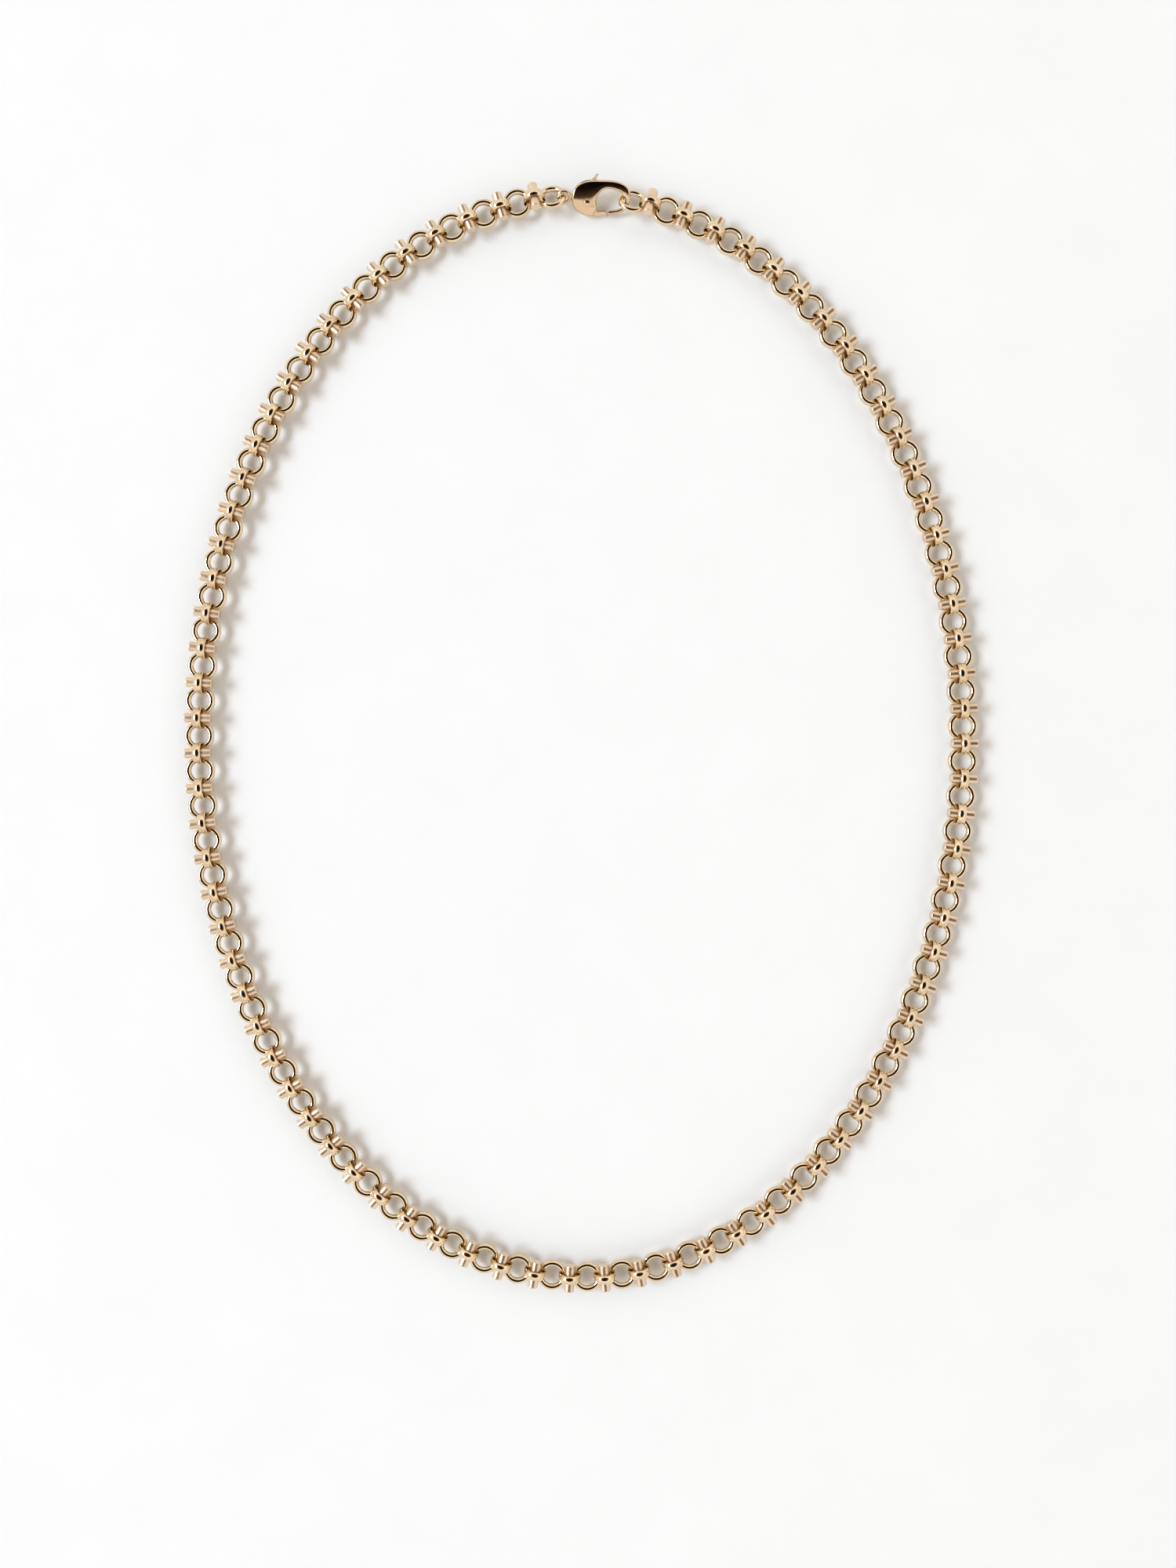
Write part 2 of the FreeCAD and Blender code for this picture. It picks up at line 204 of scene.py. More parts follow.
def ring_centres():
    """Ring centres on the loop, clockwise from the ring in the hook, about the loop's middle."""
    turns = math.radians(START_TURN) + np.linspace(0, 2 * math.pi, LOOP_STEPS + 1)
    unit = ellipse_points(turns, 1.0)
    steps = np.linalg.norm(np.diff(unit, axis=0), axis=1)
    long_axis = ((RING_COUNT - 1) * PITCH + CLASP_SPAN) / steps.sum()
    travelled = np.concatenate([[0.0], np.cumsum(steps)]) * long_axis
    at_ring = np.interp(np.arange(RING_COUNT) * PITCH, travelled, turns)
    return ellipse_points(at_ring, long_axis)


def strip_of(down, folds, own_side):
    """The strip, from 0 at the clasp, of a ring or link so many places down a run."""
    return sum(1 for fold in folds if fold < down or (own_side and fold == down))


def fold_rings():
    step = (LAST_FOLD_RING - FIRST_FOLD_RING) / (STRIP_COUNT - 2)
    return [round(FIRST_FOLD_RING + i * step) for i in range(STRIP_COUNT - 1)]


def ring_strip(index):
    return strip_of(min(index, RING_COUNT - 1 - index), fold_rings(), False)


def link_strip(index):
    return strip_of(min(index, RING_COUNT - 2 - index), fold_rings(), True)


def frame_shift(centres):
    """The vector from the loop's own middle to the CAD frame, read from one rings node."""
    strip = STRIP_COUNT // 2
    own = [centres[i] for i in range(1, RING_COUNT - 1) if ring_strip(i) == strip]
    low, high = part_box(f"rings_{strip + 1:02d}")
    drawn = (np.min(own, axis=0) + np.max(own, axis=0)) / 2
    packed = (np.array(low) + np.array(high)) / 2 / MM
    return np.array([packed[0] - drawn[0], packed[1] - drawn[1], packed[2] - RING_HEIGHT])


# ---------------------------------------------------------------- mesh helpers

def grid_faces(rows, columns, wrap_rows):
    """Quads of a grid of points whose columns go all the way round."""
    row = np.arange(rows if wrap_rows else rows - 1)[:, None]
    column = np.arange(columns)[None, :]
    below = row * columns + column
    beside = row * columns + (column + 1) % columns
    above_row = (row + 1) % rows
    above = above_row * columns + column
    across = above_row * columns + (column + 1) % columns
    return np.stack([below, beside, across, above], -1).reshape(-1, 4)


def torus(radius, wire, turns, sides):
    around = np.arange(turns) / turns * 2 * math.pi
    about = np.arange(sides) / sides * 2 * math.pi
    reach = radius + wire * np.cos(about)[None, :]
    x = reach * np.cos(around)[:, None]
    y = reach * np.sin(around)[:, None]
    z = np.broadcast_to(wire * np.sin(about)[None, :], x.shape)
    return np.stack([x, y, z], -1).reshape(-1, 3), grid_faces(turns, sides, True)


def turned(profile, turns, closed):
    """A profile of (radius, height) points turned about Y."""
    profile = np.array(profile)
    around = np.arange(turns) / turns * 2 * math.pi
    x = profile[:, :1] * np.cos(around)[None, :]
    z = profile[:, :1] * np.sin(around)[None, :]
    y = np.broadcast_to(profile[:, 1:], x.shape)
    return np.stack([x, y, z], -1).reshape(-1, 3), grid_faces(len(profile), turns, closed)


def arc(centre, radius, start, end, steps):
    """Points of a round corner, angles in degrees, in the profile's own plane."""
    angles = np.radians(np.linspace(start, end, steps + 1))
    return [(centre[0] + radius * math.cos(a), centre[1] + radius * math.sin(a)) for a in angles]


def joined(parts):
    """Several (points, faces) pairs as one."""
    points = []
    faces = []
    count = 0
    for own_points, own_faces in parts:
        points.append(own_points)
        faces.append(own_faces + count)
        count += len(own_points)
    return np.concatenate(points), np.concatenate(faces)


def placed(shape, matrix):
    points, faces = shape
    m = np.array(matrix)
    return points @ m[:3, :3].T + m[:3, 3], faces


def add_piece(name, shape, body, material, nodes, normals=None):
    """A smooth mesh in the row frame that rides on a body and stands for its CAD nodes."""
    points, faces = shape
    mesh = bpy.data.meshes.new(name)
    mesh.from_pydata((points * MM).tolist(), [], faces.tolist())
    mesh.polygons.foreach_set("use_smooth", [True] * len(mesh.polygons))
    mesh.update()
    if normals is not None:
        mesh.normals_split_custom_set_from_vertices(normals.tolist())
    mesh.materials.append(material)
    piece = bpy.data.objects.new(name, mesh)
    bpy.context.scene.collection.objects.link(piece)
    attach(piece, body)
    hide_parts(*nodes)


# ---------------------------------------------------------------- chain pieces

def band_profile():
    """The band's section: domed outside, crowned inside, every edge slightly rounded."""
    half = BAND_WIDTH / 2
    edge = BAND_EDGE_ROUND
    outer = BAND_OUTER_RADIUS
    inner = BAND_INNER_RADIUS
    heights = np.linspace(-half + edge, half - edge, DOME_STEPS + 1)
    share = (heights / half) ** 2
    outside = [(outer - BAND_DOME * s, y) for y, s in zip(heights, share)]
    inside = [(inner + BAND_CROWN * s, y) for y, s in zip(heights[::-1], share[::-1])]
    outer_centre = outside[-1][0] - edge
    inner_centre = inside[0][0] + edge
    top = arc((outer_centre, half - edge), edge, 90, 0, ROUND_STEPS)[::-1]
    top += arc((inner_centre, half - edge), edge, 90, 180, ROUND_STEPS)
    bottom = arc((inner_centre, -half + edge), edge, 180, 270, ROUND_STEPS)
    bottom += arc((outer_centre, -half + edge), edge, 270, 360, ROUND_STEPS)
    return (outside[:-1] + top + inside[1:-1] + bottom[:-1])[::-1]


def bar_profile():
    """Half of the straight bar's section from one end's middle to the other's."""
    end = BAR_LENGTH / 2
    half = [(AXIS_GAP, end)] + [(share * BAR_RADIUS, end) for share in BAR_END_SHARES]
    corner = (BAR_RADIUS - BAR_END_ROUND, end - BAR_END_ROUND)
    half += arc(corner, BAR_END_ROUND, 90, 0, ROUND_STEPS)
    half += [(BAR_RADIUS, end - 2 * BAR_END_ROUND), (BAR_RADIUS, end / 3)]
    return half + [(x, -y) for x, y in reversed(half)]


def heading(start, end):
    return math.atan2(end[1] - start[1], end[0] - start[0])


def band_normals(profile):
    """Normals round the band: its outside polished to a half-round look, the rest as drawn."""
    profile = np.array(profile)
    along = np.roll(profile, -1, 0) - np.roll(profile, 1, 0)
    flat = np.stack([-along[:, 1], along[:, 0]], -1)
    half = BAND_WIDTH / 2
    outside = profile[:, 0] > BAND_OUTER_RADIUS - BAND_OUTSIDE_DEPTH
    turn = math.radians(BAND_POLISH) * profile[:, 1] / half
    flat[outside] = np.stack([np.cos(turn), np.sin(turn)], -1)[outside]
    flat /= np.linalg.norm(flat, axis=1)[:, None]
    around = np.arange(BAND_TURNS) / BAND_TURNS * 2 * math.pi
    x = flat[:, :1] * np.cos(around)[None, :]
    z = flat[:, :1] * np.sin(around)[None, :]
    return np.stack([x, np.broadcast_to(flat[:, 1:], x.shape), z], -1).reshape(-1, 3)


def link_matrix(start, end, shift):
    """A frame midway between two ring centres, with X from the first to the second."""
    middle = (start + end) / 2
    place = Vector((middle[0] + shift[0], middle[1] + shift[1], LINK_HEIGHT + shift[2]))
    return Matrix.Translation(place) @ Matrix.Rotation(heading(start, end), 4, "Z")


def lifted_link_matrix(end_ring, neighbour, raised_side, shift):
    """The link of an end ring, lifted, and leaning about the wires that it holds."""
    lean = Matrix.Rotation(math.radians(raised_side * END_LINK_ROLL), 4, "X")
    up = Matrix.Translation(Vector((0, 0, RING_DROP)))
    lift = Matrix.Translation(Vector((0, 0, END_LIFT)))
    return lift @ link_matrix(neighbour, end_ring, shift) @ up.inverted() @ lean @ up


def ring_matrix(centre, shift):
    place = Vector((centre[0] + shift[0], centre[1] + shift[1], RING_HEIGHT + shift[2]))
    return Matrix.Translation(place)


def ramp_ring_matrix(centre, end_ring, shift):
    """The ring next to an end link, tipped up towards it."""
    tip = Matrix.Rotation(-math.asin(END_LIFT / (2 * RING_RADIUS)), 4, "Y")
    lift = Matrix.Translation(Vector((0, 0, END_LIFT / 2)))
    facing = Matrix.Rotation(heading(centre, end_ring), 4, "Z")
    return lift @ ring_matrix(centre, shift) @ facing @ tip


def chain_places(centres, shift):
    """Where every ring but the end rings lies, and where every link stands."""
    last = RING_COUNT - 2
    rings = {i: ring_matrix(centres[i], shift) for i in range(1, last + 1)}
    rings[1] = ramp_ring_matrix(centres[1], centres[0], shift)
    rings[last] = ramp_ring_matrix(centres[-2], centres[-1], shift)
    links = {i: link_matrix(centres[i], centres[i + 1], shift) for i in range(1, last)}
    links[0] = lifted_link_matrix(centres[0], centres[1], 1, shift)
    links[last] = lifted_link_matrix(centres[-1], centres[-2], -1, shift)
    return rings, links


def add_chain(centres, shift, polished, satin):
    """One mesh of rings, one of bands and one of bars for each strip."""
    ring = torus(RING_RADIUS, WIRE_RADIUS, RING_TURNS, WIRE_TURNS)
    band = turned(band_profile(), BAND_TURNS, True)
    outward = band_normals(band_profile())
    rise = Matrix.Translation(Vector((0, 0, BAR_RISE)))
    bar = placed(turned(bar_profile(), BAR_TURNS, False), rise)
    ring_at, link_at = chain_places(centres, shift)
    for strip in range(STRIP_COUNT):
        tag = f"{strip + 1:02d}"
        body = f"strip_{tag}"
        ring_places = [place for i, place in ring_at.items() if ring_strip(i) == strip]
        link_places = [place for i, place in link_at.items() if link_strip(i) == strip]
        normals = np.concatenate([outward @ np.array(place.to_3x3()).T for place in link_places])
        for kind, shape, places, material, shading in (
            ("rings", ring, ring_places, polished, None),
            ("band_links", band, link_places, polished, normals),
            ("cross_bars", bar, link_places, satin, None),
        ):
            meshes = joined([placed(shape, place) for place in places])
            node = f"{kind}_{tag}"
            add_piece(f"polished_{node}", meshes, body, material, [node], shading)


# ---------------------------------------------------------------- clasp pieces

def spline_outline(points, count):
    """A closed smooth curve through the points, as a periodic cubic spline over its chords."""
    knots = np.array(points)
    chords = np.linalg.norm(np.roll(knots, -1, 0) - knots, axis=1)
    size = len(knots)
    system = np.zeros((size, size))
    target = np.zeros((size, 2))
    for i in range(size):
        before = chords[i - 1]
        after = chords[i]
        system[i, i - 1] += after
        system[i, i] += 2 * (before + after)
        system[i, (i + 1) % size] += before
        target[i] = 3 * ((knots[i] - knots[i - 1]) * after / before
                         + (knots[(i + 1) % size] - knots[i]) * before / after)
    slopes = np.linalg.solve(system, target)
    curve = []
    each = max(2, count // size)
    for i in range(size):
        t = (np.arange(each) / each)[:, None]
        start, end = knots[i], knots[(i + 1) % size]
        leaving, arriving = slopes[i] * chords[i], slopes[(i + 1) % size] * chords[i]
        curve.append((2 * t ** 3 - 3 * t ** 2 + 1) * start + (t ** 3 - 2 * t ** 2 + t) * leaving
                     + (3 * t ** 2 - 2 * t ** 3) * end + (t ** 3 - t ** 2) * arriving)
    return np.concatenate(curve)


def outline_distance(u, v, outline):
    """Signed distance to a closed outline in the U-V plane, negative inside."""
    u, v = np.broadcast_arrays(u, v)
    nearest = np.full(u.shape, np.inf)
    inside = np.zeros(u.shape, bool)
    outline = np.array(outline, float)
    for (au, av), (bu, bv) in zip(outline, np.roll(outline, -1, 0)):
        du, dv = bu - au, bv - av
        along = np.clip(((u - au) * du + (v - av) * dv) / (du * du + dv * dv), 0, 1)
        nearest = np.minimum(nearest, (u - au - along * du) ** 2 + (v - av - along * dv) ** 2)
        if av != bv:
            inside ^= ((av > v) != (bv > v)) & (u < au + du * (v - av) / dv)
    return np.sqrt(nearest) * np.where(inside, -1.0, 1.0)


def disc_distance(u, v, centre, radius):
    return np.hypot(u - centre[0], v - centre[1]) - radius


def rounded_slab(flat, w, half, radius):
    """Signed distance of a flat outline thickened to +-half with rounded edges."""
    outward = flat + radius
    upward = np.abs(w) - half + radius
    outside = np.hypot(np.maximum(outward, 0), np.maximum(upward, 0))
    return outside + np.minimum(np.maximum(outward, upward), 0) - radius


def smooth_union(a, b, width):
    share = np.clip(0.5 + 0.5 * (b - a) / width, 0, 1)
    return b + (a - b) * share - width * share * (1 - share)


def lever_flat(u, v):
    parts = [outline_distance(u, v, part) for part in (LEVER_ARM, LEVER_TAB, LEVER_HEEL)]
    parts.append(disc_distance(u, v, LEVER_PIVOT, LEVER_BOSS_RADIUS))
    flat = parts[0]
    for part in parts[1:]:
        flat = smooth_union(flat, part, NECK_BLEND)
    return flat


def slot_flat(u, v):
    """The outline that the lever sweeps on its way open, with room around it."""
    flat = disc_distance(u, v, SPRING_CENTRE, SPRING_POCKET_RADIUS)
    for step in range(SLOT_POSITIONS):
        turn = math.radians(step * LEVER_OPEN_ANGLE / (SLOT_POSITIONS - 1))
        du, dv = u - LEVER_PIVOT[0], v - LEVER_PIVOT[1]
        back_u = LEVER_PIVOT[0] + du * math.cos(turn) + dv * math.sin(turn)
        back_v = LEVER_PIVOT[1] - du * math.sin(turn) + dv * math.cos(turn)
        flat = np.minimum(flat, lever_flat(back_u, back_v) - LEVER_CLEARANCE)
    return flat


def eye_distance(u, v, w):
    """The round eye at the tail, turned about its neck."""
    twist = math.radians(EYE_TWIST)
    across = (v - EYE_CENTRE[1]) * math.cos(twist) + w * math.sin(twist)
    through = w * math.cos(twist) - (v - EYE_CENTRE[1]) * math.sin(twist)
    return np.hypot(np.hypot(u - EYE_CENTRE[0], across) - EYE_RADIUS, through) - EYE_WIRE_RADIUS


def neck_distance(u, v, w):
    """The neck between the eye and the body, a round rod that widens away from the eye."""
    start = EYE_CENTRE[0] + EYE_RADIUS
    along = np.clip(u - start, 0, NECK_LENGTH)
    radius = EYE_WIRE_RADIUS + (NECK_RADIUS - EYE_WIRE_RADIUS) * along / NECK_LENGTH
    return np.sqrt((u - start - along) ** 2 + (v - EYE_CENTRE[1]) ** 2 + w ** 2) - radius


def body_distance():
    """The clasp's body: a rounded, pillowed plate with its opening, gap, slot and eye."""
    outline = spline_outline(BODY_OUTLINE, OUTLINE_POINTS)
    opening = spline_outline(BODY_OPENING, OUTLINE_POINTS)

    def distance(u, v, w):
        flat = np.maximum(outline_distance(u, v, outline), -outline_distance(u, v, opening))
        flat = np.maximum(flat, -outline_distance(u, v, GATE_GAP))
        taper = np.clip((u - HOOK_TAPER[0]) / (HOOK_TAPER[1] - HOOK_TAPER[0]), 0, 1)
        taper = taper * taper * (3 - 2 * taper)
        half = (BODY_THICKNESS + (HOOK_THICKNESS - BODY_THICKNESS) * taper) / 2
        half = half * (1 - BODY_PILLOW * np.exp(np.minimum(flat, 0) / PILLOW_REACH))
        plate = rounded_slab(flat, w, half, BODY_EDGE_ROUND)
        slot = np.maximum(slot_flat(u, v), np.abs(w) - SLOT_THICKNESS / 2)
        plate = np.maximum(plate, -slot)
        plate = np.maximum(plate, -disc_distance(u, v, LEVER_PIVOT, RIVET_RADIUS))
        tail = np.minimum(eye_distance(u, v, w), neck_distance(u, v, w))
        return smooth_union(plate, tail, NECK_BLEND)

    return distance


def lever_distance():
    """The clasp's lever: a flat plate with rounded edges and the rivet's hole."""
    def distance(u, v, w):
        plate = rounded_slab(lever_flat(u, v), w, LEVER_THICKNESS / 2, LEVER_ROUND)
        return np.maximum(plate, -disc_distance(u, v, LEVER_PIVOT, LEVER_HOLE_RADIUS))

    return distance


def gradient(distance, points):
    """The direction in which a distance function grows fastest at each point."""
    slope = np.zeros_like(points)
    for axis in range(3):
        step = np.zeros(3)
        step[axis] = GRADIENT_REACH
        slope[:, axis] = distance(*(points + step).T) - distance(*(points - step).T)
    return slope / np.maximum(np.linalg.norm(slope, axis=1), 1e-9)[:, None]


def cell_points(field, inside):
    """A point for each cell that the surface crosses, in cells, and the points' numbers."""
    shape = np.array(field.shape) - 1
    total = np.zeros((*shape, 3))
    hits = np.zeros(tuple(shape))
    for axis in range(3):
        others = [a for a in range(3) if a != axis]
        lower = [slice(None)] * 3
        upper = [slice(None)] * 3
        lower[axis] = slice(0, -1)
        upper[axis] = slice(1, None)
        first, second = field[tuple(lower)], field[tuple(upper)]
        crossing = inside[tuple(lower)] != inside[tuple(upper)]
        share = np.where(crossing, first / np.where(crossing, first - second, 1), 0)
        for i in (0, 1):
            for j in (0, 1):
                part = [slice(None)] * 3
                part[others[0]] = slice(i, i + shape[others[0]])
                part[others[1]] = slice(j, j + shape[others[1]])
                found = crossing[tuple(part)]
                hits += found
                total[..., axis] += np.where(found, share[tuple(part)], 0)
                total[..., others[0]] += np.where(found, i, 0)
                total[..., others[1]] += np.where(found, j, 0)
    active = hits > 0
    index = np.full(tuple(shape), -1)
    index[active] = np.arange(active.sum())
    corner = np.stack(np.nonzero(active), -1)
    return corner + total[active] / hits[active][:, None], index


def cell_faces(inside, index):
    """A quad round each cell edge that the surface crosses, facing outward."""
    faces = []
    for axis in range(3):
        others = [(axis + 1) % 3, (axis + 2) % 3]
        span = [slice(1, -1)] * 3
        lower = list(span)
        upper = list(span)
        lower[axis] = slice(0, -1)
        upper[axis] = slice(1, None)
        start, end = inside[tuple(lower)], inside[tuple(upper)]
        for leaving in (True, False):
            edge = np.stack(np.nonzero((start != end) & (start == leaving)), -1)
            edge[:, others[0]] += 1
            edge[:, others[1]] += 1
            ring = []
            for i, j in ((-1, -1), (0, -1), (0, 0), (-1, 0)):
                at = edge.copy()
                at[:, others[0]] += i
                at[:, others[1]] += j
                ring.append(index[tuple(at.T)])
            quads = np.stack(ring, -1)
            faces.append(quads if leaving else quads[:, ::-1])
    return np.concatenate(faces)


def cell_surface(distance, low, high, cell):
    """A quad mesh of a distance function's zero surface, with its normals."""
    axes = [np.arange(a, b + cell, cell) for a, b in zip(low, high)]
    field = distance(axes[0][:, None, None], axes[1][None, :, None], axes[2][None, None, :])
    inside = field < 0
    in_cells, index = cell_points(field, inside)
    points = in_cells * cell + np.array([a[0] for a in axes])
    for _ in range(SETTLING_STEPS):
        slope = gradient(distance, points)
        points = points - slope * distance(*points.T)[:, None] * SETTLING_SHARE
    return (points, cell_faces(inside, index)), gradient(distance, points)


def swollen(points, normals):
    """Normals of the body's faces, which polishing has swollen towards the spine."""
    start, reach, slope = SPINE_POLISH
    rise = np.clip((points[:, 1] - start) / reach, 0, 1)
    normals = normals.copy()
    normals[:, 1] += slope * rise * rise * (3 - 2 * rise) * normals[:, 2] ** 2
    return normals / np.linalg.norm(normals, axis=1)[:, None]


def turned_w(shape, centre):
    """A piece turned about Y laid so that its axis is W, at a place on the clasp."""
    points, faces = shape
    return points[:, [2, 0, 1]] + np.array([centre[0], centre[1], 0.0]), faces


def rivet_profile():
    """The rivet's section from the top of one domed head to the top of the other."""
    half = BODY_THICKNESS / 2
    head = [(RIVET_HEAD_RADIUS * math.sin(a), half + RIVET_HEAD_PROUD * math.cos(a))
            for a in np.linspace(RIVET_HEAD_START, math.pi / 2, RIVET_HEAD_POINTS)]
    rim = (RIVET_HEAD_RADIUS, half - RIVET_RIM_DEPTH)
    seat = (RIVET_RADIUS, half - RIVET_SEAT_DEPTH)
    upper = head + [rim, seat, (RIVET_RADIUS, RIVET_SHANK_HEIGHT)]
    return upper + [(x, -y) for x, y in reversed(upper)]


def spring_shape():
    """A leaf bent into a C, its mouth towards the tail."""
    angles = np.radians(np.linspace(-180 + SPRING_MOUTH, 180 - SPRING_MOUTH, SPRING_STEPS + 1))
    thick = SPRING_THICKNESS / 2
    wide = SPRING_WIDTH / 2
    section = [(thick, wide), (-thick, wide), (-thick, -wide), (thick, -wide)]
    middle = SPRING_RADIUS - thick
    points = [((middle + t) * math.cos(a), (middle + t) * math.sin(a), w)
              for a in angles for t, w in section]
    faces = [[4 * i + j, 4 * i + (j + 1) % 4, 4 * i + 4 + (j + 1) % 4, 4 * i + 4 + j]
             for i in range(SPRING_STEPS) for j in range(4)]
    faces += [[3, 2, 1, 0], [4 * SPRING_STEPS + j for j in range(4)]]
    return np.array(points) + np.array([SPRING_CENTRE[0], SPRING_CENTRE[1], 0.0]), np.array(faces)


def end_ring_matrix(neighbour, centre, raised_side):
    """An end ring's frame, X pointing away from its link, one side raised by its roll."""
    roll = math.radians(raised_side * END_RING_ROLL)
    place = Vector((centre[0], centre[1], RING_HEIGHT + END_LIFT))
    facing = Matrix.Rotation(heading(neighbour, centre), 4, "Z")
    return Matrix.Translation(place) @ facing @ Matrix.Rotation(roll, 4, "X")


def contact_towards(place, direction):
    """The middle of a ring's wire on the side that faces a direction."""
    local = place.to_3x3().inverted() @ direction
    local.z = 0
    return place @ (local.normalized() * RING_RADIUS)


def clasp_matrix(hook_place, tail_place):
    """The clasp's frame, laid so that its eye and hook hold the end rings' wires."""
    across = hook_place.translation - tail_place.translation
    tail = contact_towards(tail_place, across)
    hook = contact_towards(hook_place, -across)
    drawn = heading(TAIL_CONTACT, HOOK_CONTACT)
    middle_u = (HOOK_CONTACT[0] + TAIL_CONTACT[0]) / 2
    middle_v = (HOOK_CONTACT[1] + TAIL_CONTACT[1]) / 2
    middle = Vector((middle_u, middle_v, 0))
    seat = Matrix.Translation((tail + hook) / 2) @ Matrix.Rotation(heading(tail, hook), 4, "Z")
    roll = Matrix.Rotation(math.radians(CLASP_ROLL), 4, "X")
    return seat @ roll @ Matrix.Rotation(-drawn, 4, "Z") @ Matrix.Translation(-middle)


def add_end_rings(hook_place, tail_place, chain):
    ring = torus(RING_RADIUS, WIRE_RADIUS, RING_TURNS, WIRE_TURNS)
    for name, place in (("end_ring_hook", hook_place), ("end_ring_tail", tail_place)):
        shape = placed(ring, place)
        add_piece(f"polished_{name}", shape, "strip_01", chain, [name])


def add_body(place, gold):
    body, normals = cell_surface(body_distance(), BODY_LOW, BODY_HIGH, BODY_CELL)
    facing = swollen(body[0], normals) @ np.array(place.to_3x3()).T
    shape = placed(body, place)
    add_piece("lobster_body", shape, "clasp", gold, ["clasp_body"], facing)


def add_lever(place, gold):
    lever, normals = cell_surface(lever_distance(), LEVER_LOW, LEVER_HIGH, LEVER_CELL)
    facing = normals @ np.array(place.to_3x3()).T
    shape = placed(lever, place)
    add_piece("lobster_lever", shape, "gate", gold, ["clasp_lever"], facing)


def add_rivet(place, gold):
    rivet = placed(turned_w(turned(rivet_profile(), BAR_TURNS, False), LEVER_PIVOT), place)
    add_piece("lobster_rivet", rivet, "clasp", gold, ["clasp_rivet"])


def add_spring(place, steel):
    spring = placed(spring_shape(), place)
    add_piece("leaf_spring", spring, "clasp", steel, ["clasp_spring"])


def add_clasp(centres, shift, chain, gold, steel):
    """The two end rings and the clasp that holds them."""
    to_frame = Matrix.Translation(Vector(shift))
    hook_place = end_ring_matrix(centres[1], centres[0], 1)
    tail_place = end_ring_matrix(centres[-2], centres[-1], -1)
    place = to_frame @ clasp_matrix(hook_place, tail_place)
    add_end_rings(to_frame @ hook_place, to_frame @ tail_place, chain)
    add_body(place, gold)
    add_lever(place, gold)
    add_rivet(place, gold)
    add_spring(place, steel)


# ---------------------------------------------------------------- materials

def node_tree(material):
    material.use_nodes = True
    tree = material.node_tree
    return tree, tree.nodes["Principled BSDF"]


def add_node(tree, kind, **values):
    node = tree.nodes.new(kind)
    for name, value in values.items():
        node.inputs[name.replace("_", " ")].default_value = value
    return node


def ramp(tree, source, stops):
    """A colour ramp over (place, colour) stops."""
    node = tree.nodes.new("ShaderNodeValToRGB")
    elements = node.color_ramp.elements
    while len(elements) < len(stops):
        elements.new(0.5)
    for element, (place, colour) in zip(elements, stops):
        element.position = place
        element.color = (*colour, 1.0)
    tree.links.new(source, node.inputs["Fac"])
    return node.outputs["Color"]


def polished_metal(name, light, deep, gloss, scratches):
    """Polished metal with slight tone changes, handling marks and a gently uneven face."""
    material = bpy.data.materials.new(name)
    tree, shader = node_tree(material)
    links = tree.links
    shader.inputs["Metallic"].default_value = 1.0
    where = tree.nodes.new("ShaderNodeTexCoord")
    tone = add_node(tree, "ShaderNodeTexNoise", Scale=420.0, Detail=3.0, Roughness=0.55)
    links.new(where.outputs["Object"], tone.inputs["Vector"])
    colour = ramp(tree, tone.outputs["Fac"], ((0.32, deep), (0.62, light)))
    links.new(colour, shader.inputs["Base Color"])
    smear = add_node(tree, "ShaderNodeTexNoise", Scale=900.0, Detail=4.0, Roughness=0.6)
    links.new(where.outputs["Object"], smear.inputs["Vector"])
    low, high = gloss
    rough = ramp(tree, smear.outputs["Fac"], ((0.35, (low,) * 3), (0.7, (high,) * 3)))
    links.new(rough, shader.inputs["Roughness"])
    stretch = tree.nodes.new("ShaderNodeMapping")
    stretch.inputs["Scale"].default_value = (1.0, 9.0, 4.0)
    stretch.inputs["Rotation"].default_value = (0.4, 0.3, 0.7)
    links.new(where.outputs["Object"], stretch.inputs["Vector"])
    marks = add_node(tree, "ShaderNodeTexNoise", Scale=2600.0, Detail=2.0, Roughness=0.5)
    links.new(stretch.outputs["Vector"], marks.inputs["Vector"])
    fine = add_node(tree, "ShaderNodeBump", Strength=scratches, Distance=0.00002)
    links.new(marks.outputs["Fac"], fine.inputs["Height"])
    swell = add_node(tree, "ShaderNodeTexNoise", Scale=750.0, Detail=1.0, Roughness=0.4)
    links.new(where.outputs["Object"], swell.inputs["Vector"])
    coarse = add_node(tree, "ShaderNodeBump", Strength=0.35, Distance=0.00006)
    links.new(swell.outputs["Fac"], coarse.inputs["Height"])
    links.new(fine.outputs["Normal"], coarse.inputs["Normal"])
    links.new(coarse.outputs["Normal"], shader.inputs["Normal"])
    return material


def paper():
    """White drawing paper with a faint tooth."""
    material = bpy.data.materials.new("white_paper")
    tree, shader = node_tree(material)
    links = tree.links
    shader.inputs["Roughness"].default_value = 0.85
    where = tree.nodes.new("ShaderNodeTexCoord")
    mottle = add_node(tree, "ShaderNodeTexNoise", Scale=60.0, Detail=5.0, Roughness=0.6)
    links.new(where.outputs["Object"], mottle.inputs["Vector"])
    greys = ((0.3, (0.92, 0.92, 0.92)), (0.7, (0.94, 0.94, 0.94)))
    colour = ramp(tree, mottle.outputs["Fac"], greys)
    links.new(colour, shader.inputs["Base Color"])
    tooth = add_node(tree, "ShaderNodeTexNoise", Scale=1400.0, Detail=6.0, Roughness=0.65)
    links.new(where.outputs["Object"], tooth.inputs["Vector"])
    bump = add_node(tree, "ShaderNodeBump", Strength=0.25, Distance=0.00012)
    links.new(tooth.outputs["Fac"], bump.inputs["Height"])
    links.new(bump.outputs["Normal"], shader.inputs["Normal"])
    return material


# ---------------------------------------------------------------- stage

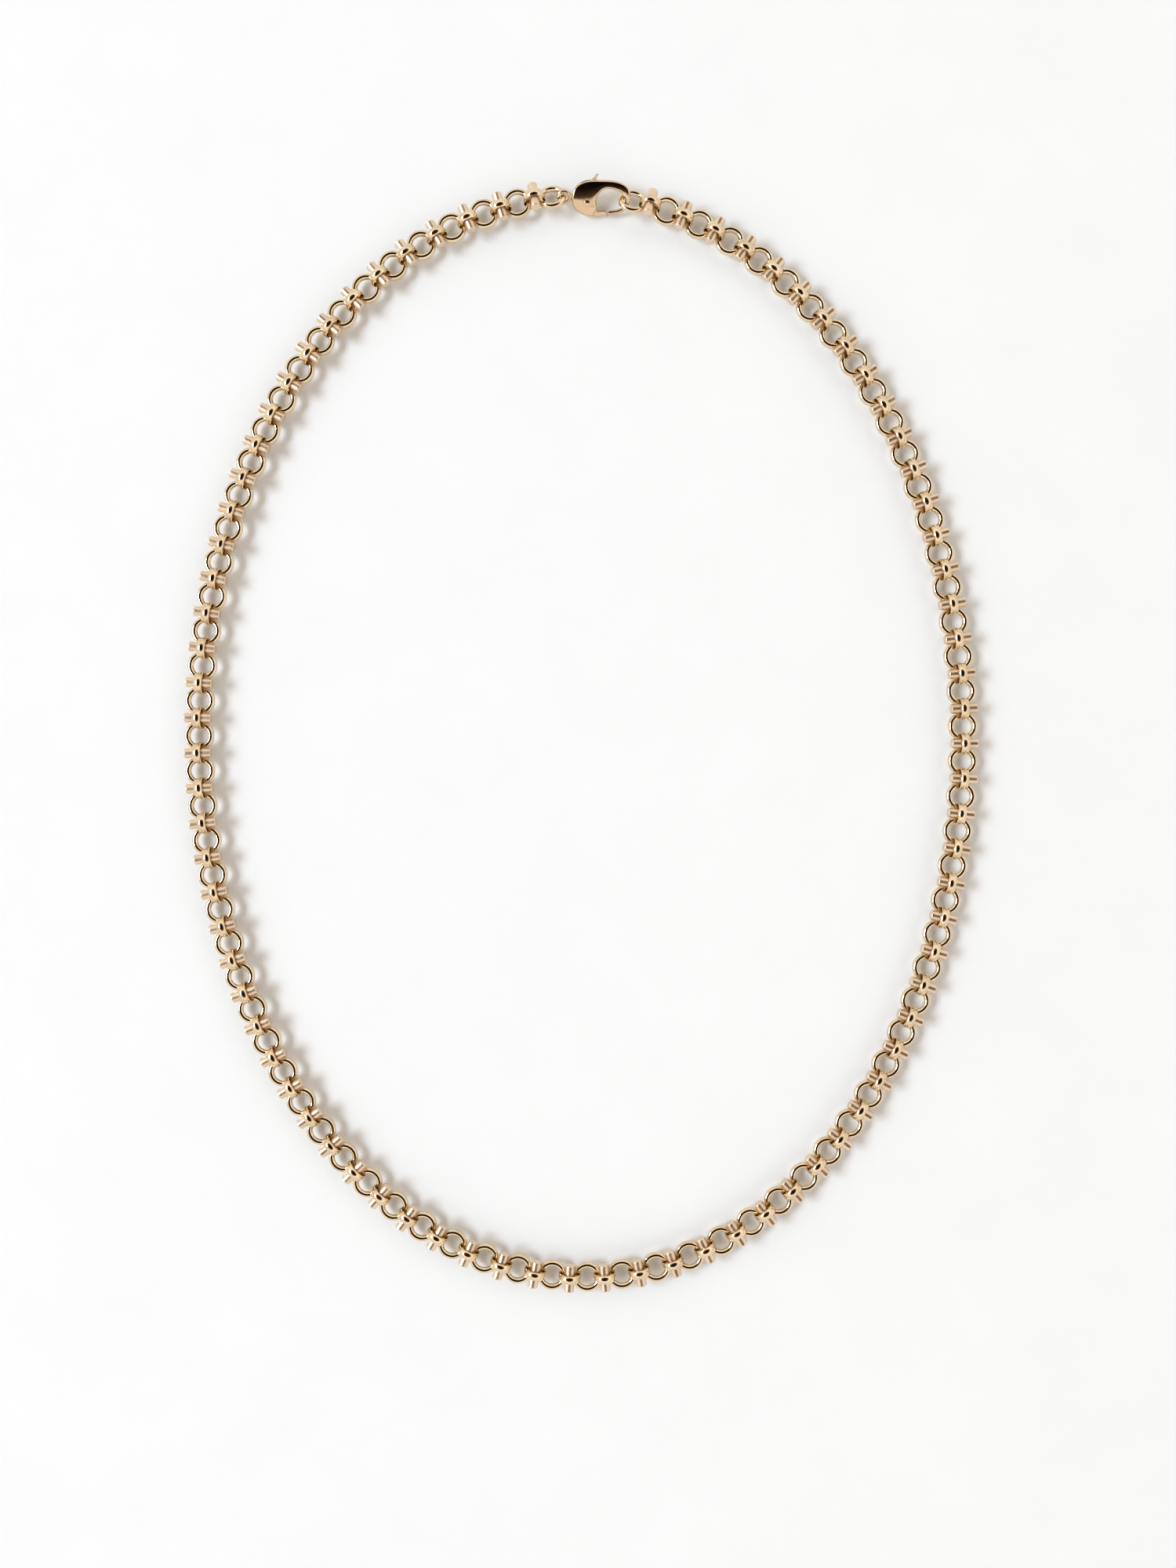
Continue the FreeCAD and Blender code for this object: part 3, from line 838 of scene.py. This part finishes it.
def add_floor():
    half = PAPER_SIZE / 2 * MM
    mesh = bpy.data.meshes.new("paper_ground")
    corners = [(-half, -half, 0), (half, -half, 0), (half, half, 0), (-half, half, 0)]
    mesh.from_pydata(corners, [], [(0, 1, 2, 3)])
    mesh.materials.append(paper())
    floor = bpy.data.objects.new("paper_ground", mesh)
    bpy.context.scene.collection.objects.link(floor)


def add_area_light(name, place, size, power, colour):
    """A soft light that faces the origin."""
    data = bpy.data.lights.new(name, "AREA")
    data.shape = "RECTANGLE"
    data.size, data.size_y = size
    data.energy = power
    data.color = colour
    light = bpy.data.objects.new(name, data)
    light.location = place
    light.rotation_mode = "QUATERNION"
    light.rotation_quaternion = (-Vector(place)).to_track_quat("-Z", "Y")
    bpy.context.scene.collection.objects.link(light)


def add_room():
    """The room as the metal mirrors it: pale walls, dark straight overhead."""
    world = bpy.data.worlds.new("room")
    bpy.context.scene.world = world
    world.use_nodes = True
    tree = world.node_tree
    links = tree.links
    where = tree.nodes.new("ShaderNodeTexCoord")
    split = tree.nodes.new("ShaderNodeSeparateXYZ")
    links.new(where.outputs["Generated"], split.inputs["Vector"])
    wall = ramp(tree, split.outputs["Z"], ROOM_TONES)
    links.new(wall, tree.nodes["Background"].inputs["Color"])
    tree.nodes["Background"].inputs["Strength"].default_value = ROOM_STRENGTH


def add_camera():
    data = bpy.data.cameras.new("overhead_camera")
    data.lens = LENS
    data.sensor_width = SENSOR
    data.clip_start = CAMERA_NEAR * MM
    camera = bpy.data.objects.new("overhead_camera", data)
    camera.location = Vector(CAMERA_PLACE) * MM
    bpy.context.scene.collection.objects.link(camera)
    bpy.context.scene.camera = camera


add_camera()
CENTRES = ring_centres()
SHIFT = frame_shift(CENTRES)
chain_metal = polished_metal("polished_chain_gold", *CHAIN_GOLD)
bar_metal = polished_metal("satin_bar_gold", *BAR_GOLD)
clasp_metal = polished_metal("polished_clasp_gold", *CLASP_GOLD)
spring_metal = polished_metal("spring_steel", *SPRING_STEEL)
add_chain(CENTRES, SHIFT, chain_metal, bar_metal)
add_clasp(CENTRES, SHIFT, chain_metal, clasp_metal, spring_metal)
add_floor()
add_area_light("window", WINDOW_PLACE, WINDOW_SIZE, WINDOW_POWER, WINDOW_COLOUR)
add_room()
bpy.context.scene.view_settings.view_transform = "Standard"
